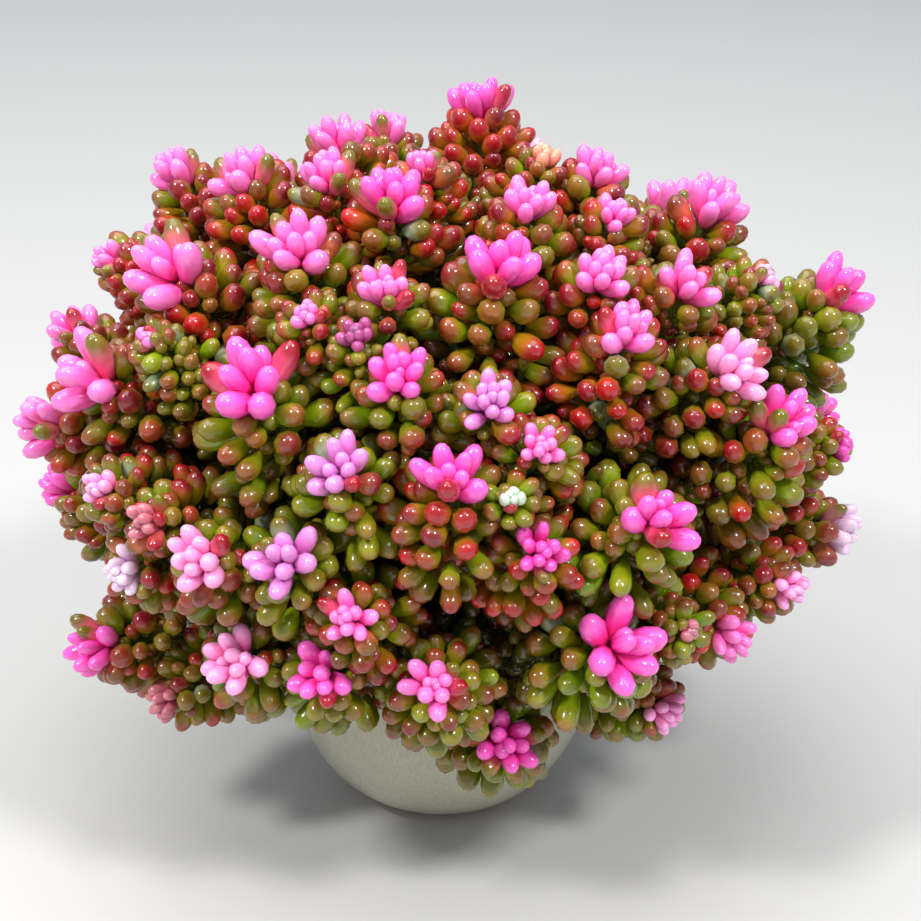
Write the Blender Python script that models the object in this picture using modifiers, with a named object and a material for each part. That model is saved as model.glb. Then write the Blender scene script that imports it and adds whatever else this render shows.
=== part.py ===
"""A jelly bean plant in its glazed pot: a dome of leafy shoots, each ending in a pink head of bean leaves.

Metres, +Z up. The origin is on the pot's axis, on its flat base.
"""

import math
import random

import bmesh
import bpy
import numpy as np
from mathutils import Matrix, Vector

MM = 0.001
CLEARANCE = 0.3 * MM
ROD_CLEARANCE = 0.45 * MM

# Pot: a round bowl on a small foot
POT_HEIGHT = 42.5 * MM
POT_RIM_RADIUS = 39.5 * MM
POT_FOOT_RADIUS = 15.0 * MM
POT_WALL = 2.6 * MM
POT_FLOOR = 4.0 * MM
POT_LIP = 0.78 * MM
POT_SIDES = 24
POT_WALL_STEPS = 5
FOOT_CROWDING = 1.6

# Soil: a gritty mix that fills the pot to just under its rim
SOIL_TOP = 37.5 * MM
SOIL_CROWN = 1.5 * MM
SOIL_GAP = 0.6 * MM
HOLE_OVERSHOOT = 4.5 * MM
SOIL_WALL_STEPS = 3

# Trunks: each rises from a hole in the soil to the fork where its shoots part
TRUNK_RADIUS = 1.9 * MM
TRUNK_DEPTH = 14.0 * MM
TRUNK_SIDES = 6
TRUNK_JOIN = 1.0 * MM
FORK_CENTRE = Vector((0.0, 0.0, 52.0 * MM))
FORK_REACH = 24.0 * MM
TRUNK_RINGS = ((3, 72.0, 0.0), (6, 38.0, 0.5), (5, 8.0, 0.0))

# Canopy: the ellipsoid on which the pink heads lie
CANOPY_CENTRE = Vector((0.0, 0.0, 95.0 * MM))
CANOPY_RADII = Vector((97.0 * MM, 80.0 * MM, 75.0 * MM))

# Eye: the place from which the heads' places across and up were judged
EYE_LIFT = 25.0
EYE_DISTANCE = 450.0 * MM
EYE_AIM = Vector((0.0, 0.0, 88.5 * MM))
EYE_SIDE = 4.8 * MM

# Bean leaves
HEAD_WIDTH = 17.0 * MM
HEAD_CORE_RADIUS = 2.3 * MM
HEAD_CORE_HEIGHT = 3.4 * MM
HEAD_COLUMNS = 5
HEAD_BEAN_LENGTH = 8.6 * MM
HEAD_BEAN_RADIUS = 2.9 * MM
HEAD_BEAN_ANGLE = 47.0
BODY_COLUMNS = 6
BODY_LEVEL = 7.0 * MM
BODY_RADII = (6.4 * MM, 3.6 * MM)
BODY_BEAN_LENGTH = 9.6 * MM
BODY_BEAN_RADIUS = 4.1 * MM
BODY_BEAN_ANGLES = (100.0, 66.0)
BODY_CORE_HALF = 0.7 * MM
NECK_DEPTH = 0.6
PLAIN_BODY = 0.55
BODY_PER_HEAD = 0.5
LARGEST_BODY = 1.08
STEM_RADII = (1.1 * MM, 2.0 * MM)
BELLY = 0.56
TIP_WIDTH = 0.62
MIDDLE_BEAN = 0.76
ROD_START = 0.34
ROD_END = 0.7
FITS = (1.0, 0.88, 0.76)

HEAD_NODES = 44
NO_SHOOT = -1
SEED = 11
NEAR_UPRIGHT = 0.9
ON_AXIS = 1e-6
PARALLEL = 1e-15
ROUND_ANGLE = 60.0

# Shoots seen from the front: across and up (mm), width of the pink head (mm), and its lift (degrees)
FRONT_SHOOTS = (
    (10, 87, 15, 84), (-25, 78, 14, 78), (-27, 69, 13, 72), (-12, 64, 16, 76), (-4, 71, 9, 80),
    (-63, 70, 14, 62), (-48, 69, 15, 68), (-80, 48, 10, 25), (-66, 47, 20, 55), (-35, 52, 16, 66),
    (-32, 35, 7, 50), (-13, 41, 13, 62), (14, 48, 18, 72), (21, 62, 13, 76), (25, 73, 7, 72),
    (38, 70, 13, 74), (42, 59, 10, 66), (39, 45, 13, 62), (66, 62, 16, 66), (60, 43, 14, 58),
    (78, 44, 7, 48), (96, 42, 17, 52), (45, 32, 14, 64), (71, 23, 15, 46), (83, 10, 16, 54),
    (96, 4, 8, 20), (-46, 20, 20, 62), (-85, 21, 19, 38), (-96, 8, 16, 14), (-70, 29, 7, 45),
    (-10, 21, 14, 58), (12, 14, 12, 48), (-24, -2, 14, 46), (3, -3, 16, 66), (24, 3, 10, 42),
    (17, -9, 6, 40), (24, -22, 12, 34), (52, -13, 18, 44), (-82, -7, 9, 30), (-70, -15, 11, 26),
    (-76, -27, 11, 8), (-58, -23, 15, 34), (-38, -24, 16, 36), (-84, -45, 15, 12), (-50, -48, 15, 28),
    (-66, -58, 10, -8), (-22, -38, 12, 34), (-29, -52, 15, 24), (-1, -54, 14, 34), (16, -68, 15, 24),
    (43, -44, 20, 36), (54, -61, 11, 2), (70, -43, 12, -12), (84, -31, 10, 0), (96, -16, 13, 8),
    (60, -41, 6, 20), (-20, 30, 8, 52),
)

# Shoots on the far side, which follow a spiral over the canopy
BACK_CANDIDATES = 84
BACK_SPACING = 26.0 * MM
BACK_LOWEST = 58.0 * MM
BACK_FACING = 0.5
BACK_WIDTHS = (12.0, 17.0)
BACK_LIFTS = (16.0, 78.0)

# Colours as linear values, with roughness
POT_GLAZE = ((0.42, 0.40, 0.31, 1.0), 0.22)
SOIL_BROWN = ((0.09, 0.06, 0.04, 1.0), 0.95)
LEAF_GREEN = ((0.22, 0.32, 0.03, 1.0), 0.25)
LEAF_PINK = ((0.90, 0.12, 0.42, 1.0), 0.25)


def clear_scene():
    for obj in list(bpy.data.objects):
        bpy.data.objects.remove(obj, do_unlink=True)


def new_collection(name):
    collection = bpy.data.collections.new(name)
    bpy.context.scene.collection.children.link(collection)
    return collection


def make_material(name, look):
    colour, roughness = look
    material = bpy.data.materials.new(name)
    material.use_nodes = True
    shader = material.node_tree.nodes["Principled BSDF"]
    shader.inputs["Base Color"].default_value = colour
    shader.inputs["Roughness"].default_value = roughness
    shader.inputs["Metallic"].default_value = 0.0
    return material


def add_mesh_object(name, mesh, collection, look):
    obj = bpy.data.objects.new(name, mesh)
    collection.objects.link(obj)
    if look:
        mesh.materials.append(make_material(name + "_finish", look))
    return obj


def object_from_bmesh(name, bm, collection, look=None):
    bmesh.ops.recalc_face_normals(bm, faces=bm.faces[:])
    mesh = bpy.data.meshes.new(name)
    bm.to_mesh(mesh)
    bm.free()
    return add_mesh_object(name, mesh, collection, look)


def turned_object(name, profile, steps, collection, look):
    """A solid turned round the Z axis, from a profile of (radius, height) given down its outer side."""
    mesh = bpy.data.meshes.new(name)
    points = [(radius, 0.0, height) for radius, height in profile]
    edges = [(index, index + 1) for index in range(len(points) - 1)]
    mesh.from_pydata(points, edges, [])
    obj = add_mesh_object(name, mesh, collection, look)
    screw = obj.modifiers.new("Turn", "SCREW")
    screw.axis = "Z"
    screw.angle = math.tau
    screw.steps = steps
    screw.render_steps = steps
    screw.use_merge_vertices = True
    screw.merge_threshold = 0.0001
    return obj


def bowl_radius(height, inset=0.0):
    """Radius of the bowl's outer side at this height: a quarter of an ellipse from foot to rim."""
    rise = 1.0 - min(max(height / POT_HEIGHT, 0.0), 1.0)
    swell = math.sqrt(1.0 - rise * rise)
    return POT_FOOT_RADIUS + (POT_RIM_RADIUS - POT_FOOT_RADIUS) * swell - inset


def bowl_side(low, high, steps, inset):
    """Points down the bowl's side, closer together near the foot where it curves most."""
    points = []
    for step in range(steps + 1):
        share = 1.0 - step / steps
        height = low + (high - low) * share**FOOT_CROWDING
        points.append((bowl_radius(height, inset), height))
    return points


def build_pot(collection):
    outer = bowl_side(0.0, POT_HEIGHT - POT_LIP, POT_WALL_STEPS, 0.0)
    inner = bowl_side(POT_FLOOR, POT_HEIGHT - POT_LIP, POT_WALL_STEPS - 1, POT_WALL)
    crown = [(POT_RIM_RADIUS - POT_WALL / 2.0, POT_HEIGHT)]
    profile = [(0.0, POT_FLOOR)] + inner[::-1] + crown + outer + [(0.0, 0.0)]
    return turned_object("glazed_pot", profile, POT_SIDES, collection, POT_GLAZE)


def build_soil(collection, trunks):
    side = bowl_side(POT_FLOOR + CLEARANCE, SOIL_TOP, SOIL_WALL_STEPS, POT_WALL + SOIL_GAP)
    profile = [(0.0, SOIL_TOP + SOIL_CROWN)] + side + [(0.0, POT_FLOOR + CLEARANCE)]
    soil = turned_object("potting_mix", profile, POT_SIDES, collection, SOIL_BROWN)
    apply_modifiers(soil)
    cutters = new_collection("hole_cutters")
    radius = TRUNK_RADIUS + ROD_CLEARANCE
    for index, fork in enumerate(trunks):
        bm = bmesh.new()
        foot = Vector((fork.x, fork.y, SOIL_TOP - TRUNK_DEPTH - CLEARANCE))
        top = Vector((fork.x, fork.y, SOIL_TOP + HOLE_OVERSHOOT))
        add_segment(bm, foot, top, radius, radius, TRUNK_SIDES)
        object_from_bmesh("hole_cutter_%02d" % index, bm, cutters)
    boolean_with_collection(soil, cutters, "DIFFERENCE")
    return soil


def apply_modifiers(obj):
    graph = bpy.context.evaluated_depsgraph_get()
    mesh = bpy.data.meshes.new_from_object(obj.evaluated_get(graph))
    old = obj.data
    obj.modifiers.clear()
    obj.data = mesh
    bpy.data.meshes.remove(old)


def boolean_with_collection(obj, collection, operation):
    """Joins or cuts the object with all that the collection holds, and then removes those objects."""
    boolean = obj.modifiers.new("Join", "BOOLEAN")
    boolean.operation = operation
    boolean.operand_type = "COLLECTION"
    boolean.collection = collection
    boolean.solver = "MANIFOLD"
    bpy.context.view_layer.update()
    apply_modifiers(obj)
    for other in list(collection.objects):
        bpy.data.objects.remove(other, do_unlink=True)
    bpy.data.collections.remove(collection)


def keep_main_body(obj):
    """Drops loose scraps and sealed hollows that a union can leave, so that one closed body stays."""
    bm = bmesh.new()
    bm.from_mesh(obj.data)
    left = set(bm.faces)
    bodies = []
    while left:
        body = []
        waiting = [left.pop()]
        while waiting:
            face = waiting.pop()
            body.append(face)
            near = {other for edge in face.edges for other in edge.link_faces} & left
            left -= near
            waiting.extend(near)
        bodies.append(body)
    bodies.sort(key=len)
    for scrap in bodies[:-1]:
        bmesh.ops.delete(bm, geom=scrap, context="FACES")
    bm.to_mesh(obj.data)
    bm.free()


def side_vectors(axis):
    """Two unit vectors square to the axis and to each other."""
    guide = Vector((0.0, 0.0, 1.0)) if abs(axis.z) < NEAR_UPRIGHT else Vector((0.0, 1.0, 0.0))
    first = axis.cross(guide).normalized()
    return first, axis.cross(first).normalized()


def add_segment(bm, start, end, start_radius, end_radius, sides):
    """Adds a closed tapered tube and returns its end face."""
    axis = (end - start).normalized()
    first, second = side_vectors(axis)
    turn = Matrix((first, second, axis)).transposed().to_4x4()
    turn.translation = (start + end) * 0.5
    made = bmesh.ops.create_cone(
        bm,
        cap_ends=True,
        segments=sides,
        radius1=start_radius,
        radius2=end_radius,
        depth=(end - start).length,
        matrix=turn,
    )
    faces = {face for vert in made["verts"] for face in vert.link_faces}
    return max(faces, key=lambda face: face.calc_center_median().dot(axis))


def extend_face(bm, face, centre, axis, radius):
    """Extrudes the face, sets the new one square to the axis at the centre, and returns it."""
    middle = face.calc_center_median()
    new_face = bmesh.ops.extrude_discrete_faces(bm, faces=[face])["faces"][0]
    for vert in new_face.verts:
        arm = vert.co - middle
        arm -= axis * arm.dot(axis)
        vert.co = centre + arm.normalized() * radius
    return new_face


def faces_round(face):
    """The faces that share an edge with this one, in order round it."""
    return [[other for other in edge.link_faces if other is not face][0] for edge in face.edges]


def grow_bean(bm, face, bean, blunt):
    """Raises one bean leaf from a face: narrow root, belly, and a blunt or a pointed tip."""
    root, direction, length, radius = bean
    belly = extend_face(bm, face, root + direction * length * BELLY, direction, radius)
    tip = root + direction * length
    if blunt:
        extend_face(bm, belly, tip, direction, radius * TIP_WIDTH)
    else:
        bmesh.ops.poke(bm, faces=[belly])["verts"][0].co = tip


def on_canopy(across, up):
    """The point of the canopy that the eye sees this far across and up, or the nearest one to that sight line."""
    lift = math.radians(EYE_LIFT)
    back = Vector((0.0, -math.cos(lift), math.sin(lift)))
    rise = Vector((0.0, math.sin(lift), math.cos(lift)))
    aim = EYE_AIM + Vector((EYE_SIDE, 0.0, 0.0))
    eye = aim + back * EYE_DISTANCE
    target = EYE_AIM + Vector((across, 0.0, 0.0)) + rise * up
    sight = (target - eye).normalized()
    scaled_eye = divide(eye - CANOPY_CENTRE, CANOPY_RADII)
    scaled_sight = divide(sight, CANOPY_RADII)
    square = scaled_sight.length_squared
    half = scaled_eye.dot(scaled_sight)
    inside = half * half - square * (scaled_eye.length_squared - 1.0)
    return eye + sight * ((-half - math.sqrt(max(inside, 0.0))) / square)


def divide(vector, radii):
    return Vector((vector.x / radii.x, vector.y / radii.y, vector.z / radii.z))


def facing(point, lift):
    """The direction in which a head looks: outwards from the canopy, at this lift above level."""
    outward = divide(divide(point - CANOPY_CENTRE, CANOPY_RADII), CANOPY_RADII)
    level = Vector((outward.x, outward.y, 0.0)).normalized()
    lift = math.radians(lift)
    return level * math.cos(lift) + Vector((0.0, 0.0, math.sin(lift)))


def front_shoots():
    shoots = []
    for across, up, width, lift in FRONT_SHOOTS:
        tip = on_canopy(across * MM, up * MM)
        shoots.append({"tip": tip, "axis": facing(tip, lift), "width": width * MM})
    return shoots


def back_shoots(taken):
    """Heads on the hidden side, on a spiral over the canopy wherever no other head is near."""
    draw = random.Random(SEED)
    lift = math.radians(EYE_LIFT)
    to_eye = Vector((0.0, -math.cos(lift), math.sin(lift)))
    shoots = []
    for index in range(BACK_CANDIDATES):
        height = 1.0 - 2.0 * (index + 0.5) / BACK_CANDIDATES
        turn = index * math.pi * (3.0 - math.sqrt(5.0))
        level = math.sqrt(1.0 - height * height)
        unit = Vector((level * math.cos(turn), level * math.sin(turn), height))
        tip = CANOPY_CENTRE + Vector([a * b for a, b in zip(unit, CANOPY_RADII)])
        normal = divide(unit, CANOPY_RADII).normalized()
        width = draw.uniform(*BACK_WIDTHS) * MM
        near = [other for other in taken + shoots if (other["tip"] - tip).length < BACK_SPACING]
        if tip.z < BACK_LOWEST or normal.dot(to_eye) > BACK_FACING or near:
            continue
        rise = (tip.z - BACK_LOWEST) / (CANOPY_CENTRE.z + CANOPY_RADII.z - BACK_LOWEST)
        slope = BACK_LIFTS[0] + (BACK_LIFTS[1] - BACK_LIFTS[0]) * rise
        shoots.append({"tip": tip, "axis": facing(tip, slope), "width": width})
    return shoots


def trunk_directions():
    """The way each trunk's fork lies from the middle, from the topmost ring down."""
    directions = []
    for count, lift, offset in TRUNK_RINGS:
        lift = math.radians(lift)
        for index in range(count):
            turn = math.tau * (index + offset) / count - math.pi / 2.0
            level = Vector((math.cos(turn), math.sin(turn), 0.0))
            directions.append(level * math.cos(lift) + Vector((0.0, 0.0, math.sin(lift))))
    return directions


def fork_points():
    return [FORK_CENTRE + direction * FORK_REACH for direction in trunk_directions()]


class Capsules:
    """Round-ended rods that stand for stems and beans, each with its owner, to find which would cross."""

    def __init__(self):
        self.starts = np.zeros((0, 3))
        self.ends = np.zeros((0, 3))
        self.radii = np.zeros(0)
        self.owners = np.zeros(0, int)

    def add(self, start, end, radius, owner):
        self.starts = np.vstack([self.starts, tuple(start)])
        self.ends = np.vstack([self.ends, tuple(end)])
        self.radii = np.append(self.radii, radius)
        self.owners = np.append(self.owners, owner)

    def gaps(self, start, end, radius):
        """The gap from this rod to every rod held, less than nothing where they cross."""
        first = np.array(end - start)
        others = self.ends - self.starts
        between = np.array(start) - self.starts
        a = first @ first
        e = np.einsum("ij,ij->i", others, others)
        b = others @ first
        c = between @ first
        f = np.einsum("ij,ij->i", others, between)
        denominator = a * e - b * b
        s = (b * f - c * e) / np.maximum(denominator, PARALLEL)
        s = np.where(denominator > PARALLEL, s, 0.0)
        s = np.clip(s, 0.0, 1.0)
        t = np.clip((b * s + f) / e, 0.0, 1.0)
        s = np.clip((b * t - c) / a, 0.0, 1.0)
        apart = between + np.outer(s, first) - others * t[:, None]
        return np.sqrt(np.einsum("ij,ij->i", apart, apart)) - self.radii - radius

    def is_clear(self, start, end, radius, owner):
        gaps = self.gaps(start, end, radius)
        return bool((gaps[self.owners != owner] >= ROD_CLEARANCE).all())


def bean_rod(bean, start=ROD_START):
    """The round-ended rod that covers a bean from this share of its length on."""
    root, direction, length, radius = bean
    return root + direction * length * start, root + direction * (length - ROD_END * radius), radius


def fitted_bean(rods, face, direction, length, radius, owner, siblings):
    """The longest bean that grows from this face clear of its neighbours, or None."""
    root = face.calc_center_median()
    for size in FITS:
        bean = (root, direction, length * size, radius * size)
        start, end, girth = bean_rod(bean)
        if not rods.is_clear(start, end, girth, owner):
            continue
        gaps = [rods_gap(bean_rod(bean, BELLY), bean_rod(other, BELLY)) for other in siblings]
        if all(gap > CLEARANCE for gap in gaps):
            return bean
    return None


def rods_gap(one, other):
    pair = Capsules()
    pair.add(*other, 0)
    return pair.gaps(*one)[0]


def add_beans(bm, faces, axis, angle, sizes, rods, owner, siblings):
    """Raises a bean from each of these faces, leaning from the axis by this angle."""
    lean = math.radians(angle)
    length, radius = sizes
    middle = sum((face.calc_center_median() for face in faces), Vector()) / len(faces)
    for face in faces:
        outward = face.calc_center_median() - middle
        outward -= axis * outward.dot(axis)
        if outward.length < ON_AXIS:
            outward = side_vectors(axis)[0]
        direction = (outward.normalized() * math.sin(lean) + axis * math.cos(lean)).normalized()
        bean = fitted_bean(rods, face, direction, length, radius, owner, siblings)
        if bean:
            grow_bean(bm, face, bean, angle == HEAD_BEAN_ANGLE)
            siblings.append(bean)
            rods.add(*bean_rod(bean), owner)


def build_head(name, shoot, rods, collection):
    """A pink head of its own: a small core with a ring of beans and one at the middle."""
    size = shoot["width"] / HEAD_WIDTH
    axis = shoot["axis"]
    foot = shoot["neck"] + axis * CLEARANCE
    crown = foot + axis * HEAD_CORE_HEIGHT * size
    radius = HEAD_CORE_RADIUS * size
    bm = bmesh.new()
    top = add_segment(bm, foot, crown, radius, radius, HEAD_COLUMNS)
    add_head_beans(bm, faces_round(top), top, shoot, rods, [])
    return object_from_bmesh(name, bm, collection, LEAF_PINK)


def add_head_beans(bm, ring, top, shoot, rods, siblings):
    """A head's beans: a ring that leans out, and a smaller one at the middle."""
    axis = shoot["axis"]
    owner = shoot["head_owner"]
    size = shoot["width"] / HEAD_WIDTH
    length = HEAD_BEAN_LENGTH * size
    radius = HEAD_BEAN_RADIUS * size
    add_beans(bm, ring, axis, HEAD_BEAN_ANGLE, (length, radius), rods, owner, siblings)
    middle = (length * MIDDLE_BEAN, radius * MIDDLE_BEAN)
    add_beans(bm, [top], axis, 0.0, middle, rods, owner, siblings)


def plan_shoots():
    """Every shoot, with its neck, its body's foot and the trunk that it grows from."""
    shoots = front_shoots()
    shoots += back_shoots(shoots)
    directions = trunk_directions()
    by_width = sorted(shoots, key=lambda shoot: -shoot["width"])
    for rank, shoot in enumerate(by_width):
        shoot["own_head"] = rank < HEAD_NODES
    for number, shoot in enumerate(shoots):
        size = shoot["width"] / HEAD_WIDTH
        body = BODY_LEVEL * len(BODY_RADII)
        shoot["owner"] = number
        shoot["head_owner"] = number + len(shoots) if shoot["own_head"] else number
        shoot["body_size"] = min(LARGEST_BODY, PLAIN_BODY + BODY_PER_HEAD * size)
        shoot["neck"] = shoot["tip"] - shoot["axis"] * HEAD_BEAN_LENGTH * NECK_DEPTH * size
        shoot["foot"] = shoot["neck"] - shoot["axis"] * body * shoot["body_size"]
        outward = (shoot["tip"] - FORK_CENTRE).normalized()
        shoot["trunk"] = max(range(len(directions)), key=lambda index: directions[index].dot(outward))
    return shoots


def reserve_rods(rods, shoots, forks):
    """Claims the space of every stem and core before any bean is grown."""
    for fork in forks:
        rods.add(Vector((fork.x, fork.y, SOIL_TOP)), fork, TRUNK_RADIUS, NO_SHOOT)
    for shoot in shoots:
        size = shoot["body_size"]
        middle = (shoot["foot"] + shoot["neck"]) * 0.5
        reach = shoot["axis"] * BODY_CORE_HALF * size
        rods.add(forks[shoot["trunk"]], shoot["foot"], STEM_RADII[1], shoot["owner"])
        rods.add(middle - reach, middle + reach, BODY_RADII[0] * size, shoot["owner"])
        if shoot["own_head"]:
            head_size = shoot["width"] / HEAD_WIDTH
            radius = HEAD_CORE_RADIUS * head_size
            middle = shoot["neck"] + shoot["axis"] * (radius + CLEARANCE)
            crown = shoot["neck"] + shoot["axis"] * HEAD_CORE_HEIGHT * head_size
            rods.add(middle, crown, radius, shoot["head_owner"])


def grow_body(bm, shoot, fork, rods):
    """One shoot on its stem: a slim core with beans at every other face of each level."""
    axis = shoot["axis"]
    size = shoot["body_size"]
    foot = shoot["foot"]
    top = add_segment(bm, fork, foot, *STEM_RADII, BODY_COLUMNS)
    levels = []
    for level, radius in enumerate(BODY_RADII):
        centre = foot + (shoot["neck"] - foot) * (level + 1) / len(BODY_RADII)
        top = extend_face(bm, top, centre, axis, radius * size)
        levels.append(faces_round(top))
    siblings = []
    if not shoot["own_head"]:
        head_size = shoot["width"] / HEAD_WIDTH
        crown = shoot["neck"] + axis * HEAD_CORE_HEIGHT * head_size
        top = extend_face(bm, top, crown, axis, HEAD_CORE_RADIUS * head_size)
        add_head_beans(bm, faces_round(top)[::2], top, shoot, rods, siblings)
    sizes = (BODY_BEAN_LENGTH * size, BODY_BEAN_RADIUS * size)
    for level in reversed(range(len(levels))):
        every_other = levels[level][level % 2 :: 2]
        add_beans(bm, every_other, axis, BODY_BEAN_ANGLES[level], sizes, rods, shoot["owner"], siblings)


def build_leafy_stem(trunk, fork, shoots, rods, collection):
    """One branched leafy stem: a trunk out of the soil and every shoot that parts from its fork."""
    foot = Vector((fork.x, fork.y, SOIL_TOP - TRUNK_DEPTH))
    bm = bmesh.new()
    add_segment(bm, foot, fork + Vector((0.0, 0.0, TRUNK_JOIN)), TRUNK_RADIUS, TRUNK_RADIUS, TRUNK_SIDES)
    stem = object_from_bmesh("leafy_stem_%02d" % (trunk + 1), bm, collection, LEAF_GREEN)
    branches = new_collection("branches")
    for index, shoot in enumerate(shoots):
        bm = bmesh.new()
        grow_body(bm, shoot, fork, rods)
        object_from_bmesh("branch_%02d" % index, bm, branches)
    boolean_with_collection(stem, branches, "UNION")
    keep_main_body(stem)
    return stem


def shade_round(collection):
    for obj in collection.objects:
        obj.data.shade_smooth()
        if not obj.modifiers:
            obj.data.set_sharp_from_angle(angle=math.radians(ROUND_ANGLE))


def main():
    clear_scene()
    plant = new_collection("jelly_bean_plant")
    shoots = plan_shoots()
    forks = fork_points()
    rods = Capsules()
    reserve_rods(rods, shoots, forks)
    build_pot(plant)
    build_soil(plant, forks)
    head = 0
    for shoot in shoots:
        if shoot["own_head"]:
            head += 1
            build_head("pink_head_%02d" % head, shoot, rods, plant)
    for trunk, fork in enumerate(forks):
        own = [shoot for shoot in shoots if shoot["trunk"] == trunk]
        build_leafy_stem(trunk, fork, own, rods, plant)
    shade_round(plant)


main()
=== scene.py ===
# %% [markdown]
# # A jelly bean plant in its pot
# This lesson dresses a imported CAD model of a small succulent. The CAD model has plain solids: a bowl, the
# mix in it, fourteen branching stems and forty-four pink heads. Each of them gets a finer piece in the
# same place. The plant is mostly one shape, a bean leaf, repeated thousands of times, so most of the work
# is a good bean, a good rule for where each bean grows, and a good skin.

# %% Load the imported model
import math
import random

import bmesh
import bpy
import numpy as np
from mathutils import Matrix, Vector


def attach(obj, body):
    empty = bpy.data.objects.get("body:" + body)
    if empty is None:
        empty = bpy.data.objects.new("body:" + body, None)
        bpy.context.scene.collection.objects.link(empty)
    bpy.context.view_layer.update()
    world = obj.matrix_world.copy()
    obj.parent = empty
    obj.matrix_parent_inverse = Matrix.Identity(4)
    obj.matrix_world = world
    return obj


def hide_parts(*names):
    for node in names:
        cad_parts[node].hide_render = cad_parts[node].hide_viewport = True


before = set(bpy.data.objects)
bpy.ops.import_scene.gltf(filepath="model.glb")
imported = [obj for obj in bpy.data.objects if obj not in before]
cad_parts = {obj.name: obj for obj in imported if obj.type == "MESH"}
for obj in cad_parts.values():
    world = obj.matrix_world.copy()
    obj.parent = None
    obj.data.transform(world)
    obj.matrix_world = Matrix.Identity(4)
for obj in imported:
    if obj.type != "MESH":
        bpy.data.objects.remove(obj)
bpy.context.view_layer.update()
MM = 0.001
print("CAD nodes:", len(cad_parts))

# %% [markdown]
# ## Small helpers
# An operator acts on all that is selected, so each step starts with nothing selected. In edit mode the
# points to move are picked in code, by a test of their place.

# %% Helpers for selecting and finishing
SCREEN_TOP = 255.0
SCREEN_KNEE = 0.04045
SCREEN_SLOPE = 12.92
SCREEN_OFFSET = 0.055
SCREEN_POWER = 2.4


def start_clean():
    if bpy.context.mode != "OBJECT":
        bpy.ops.object.mode_set(mode="OBJECT")
    bpy.ops.object.select_all(action="DESELECT")


def select_only(objects):
    start_clean()
    for obj in objects:
        obj.select_set(True)
    bpy.context.view_layer.objects.active = objects[0]


def add_object(name, data):
    obj = bpy.data.objects.new(name, data)
    bpy.context.scene.collection.objects.link(obj)
    return obj


def select_points(test):
    """Selects the points of the object in edit mode that pass the test."""
    mesh = bpy.context.edit_object.data
    shape = bmesh.from_edit_mesh(mesh)
    for point in shape.verts:
        point.select_set(bool(test(point.co)))
    shape.select_flush_mode()
    bmesh.update_edit_mesh(mesh)


def join_into(name, objects):
    """Joins the objects to one piece, whose object lies at the origin."""
    select_only(objects)
    if len(objects) > 1:
        bpy.ops.object.join()
    bpy.ops.object.transform_apply(location=True, rotation=True, scale=True)
    piece = bpy.context.view_layer.objects.active
    piece.name = name
    piece.data.name = name
    return piece


def linear(*channels):
    """The linear colour of a screen colour given from 0 to 255, by the usual rule for screens."""
    share = np.array(channels) / SCREEN_TOP
    curved = ((share + SCREEN_OFFSET) / (1.0 + SCREEN_OFFSET)) ** SCREEN_POWER
    return np.where(share <= SCREEN_KNEE, share / SCREEN_SLOPE, curved)


def part_way(pair, share):
    """The value this share of the way from the first of the pair to the second."""
    return pair[0] + (pair[1] - pair[0]) * share


print("middle grey is", linear(128, 128, 128).round(3))

# %% [markdown]
# ## The camera
# The photograph looks down on the plant by 25 degrees from about 45 cm away. A 73 mm lens on a 36 mm
# sensor gives the same framing. The aim is a little to the right of the pot's axis, because the pot stands
# left of the picture's middle.

# %% Camera
EYE_LIFT = 25.0
EYE_DISTANCE = 450.0 * MM
EYE_AIM = Vector((0.0, 0.0, 88.5 * MM))
EYE_SIDE = 4.8 * MM
LENS = 73.3
SENSOR = 36.0
NEAREST_SEEN = 0.01

start_clean()
eye_tilt = math.radians(EYE_LIFT)
camera_aim = EYE_AIM + Vector((EYE_SIDE, 0.0, 0.0))
to_eye = Vector((0.0, -math.cos(eye_tilt), math.sin(eye_tilt)))
eye_place = camera_aim + to_eye * EYE_DISTANCE
bpy.ops.object.camera_add(location=eye_place, rotation=(math.pi / 2.0 - eye_tilt, 0.0, 0.0))
camera = bpy.context.object
camera.name = "photo_camera"
camera.data.lens = LENS
camera.data.sensor_width = SENSOR
camera.data.clip_start = NEAREST_SEEN
bpy.context.scene.camera = camera
print("camera at", [round(value, 4) for value in eye_place])

# %% [markdown]
# ## Floor and light
# The plant stands on a plain pale floor. Its leaves look wet, and each one shows a pair of small bright
# lights. Two small lamps side by side make that pair, and a large lamp overhead with a pale sky gives the
# soft light between the leaves.

# %% Floor and light
FLOOR_SIZE = 12.0
FLOOR_COLOUR = linear(192, 190, 186)
FLOOR_ROUGHNESS = 0.85
SKY_COLOUR = (0.80, 0.88, 1.0, 1.0)
SKY_STRENGTH = 0.6
PAIR_LAMPS = ((-0.62, -0.5, 1.0), (0.5, -0.55, 1.0))
PAIR_SIZE = 0.17
PAIR_POWER = 8.5
SOFT_LAMP = (-0.2, 0.1, 1.5)
SOFT_SIZE = 1.4
SOFT_POWER = 18.5


def new_finish(name):
    """A new material and its shader."""
    material = bpy.data.materials.new(name)
    material.use_nodes = True
    return material, material.node_tree.nodes["Principled BSDF"]


def set_inputs(node, values):
    for name, value in values.items():
        node.inputs[name].default_value = value


def add_lamp(name, place, size, power):
    """A square lamp that faces the middle of the plant."""
    start_clean()
    turn = (EYE_AIM - Vector(place)).to_track_quat("-Z", "Y").to_euler()
    bpy.ops.object.light_add(type="AREA", location=place, rotation=turn)
    lamp = bpy.context.object
    lamp.name = name
    lamp.data.size = size
    lamp.data.energy = power


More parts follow.
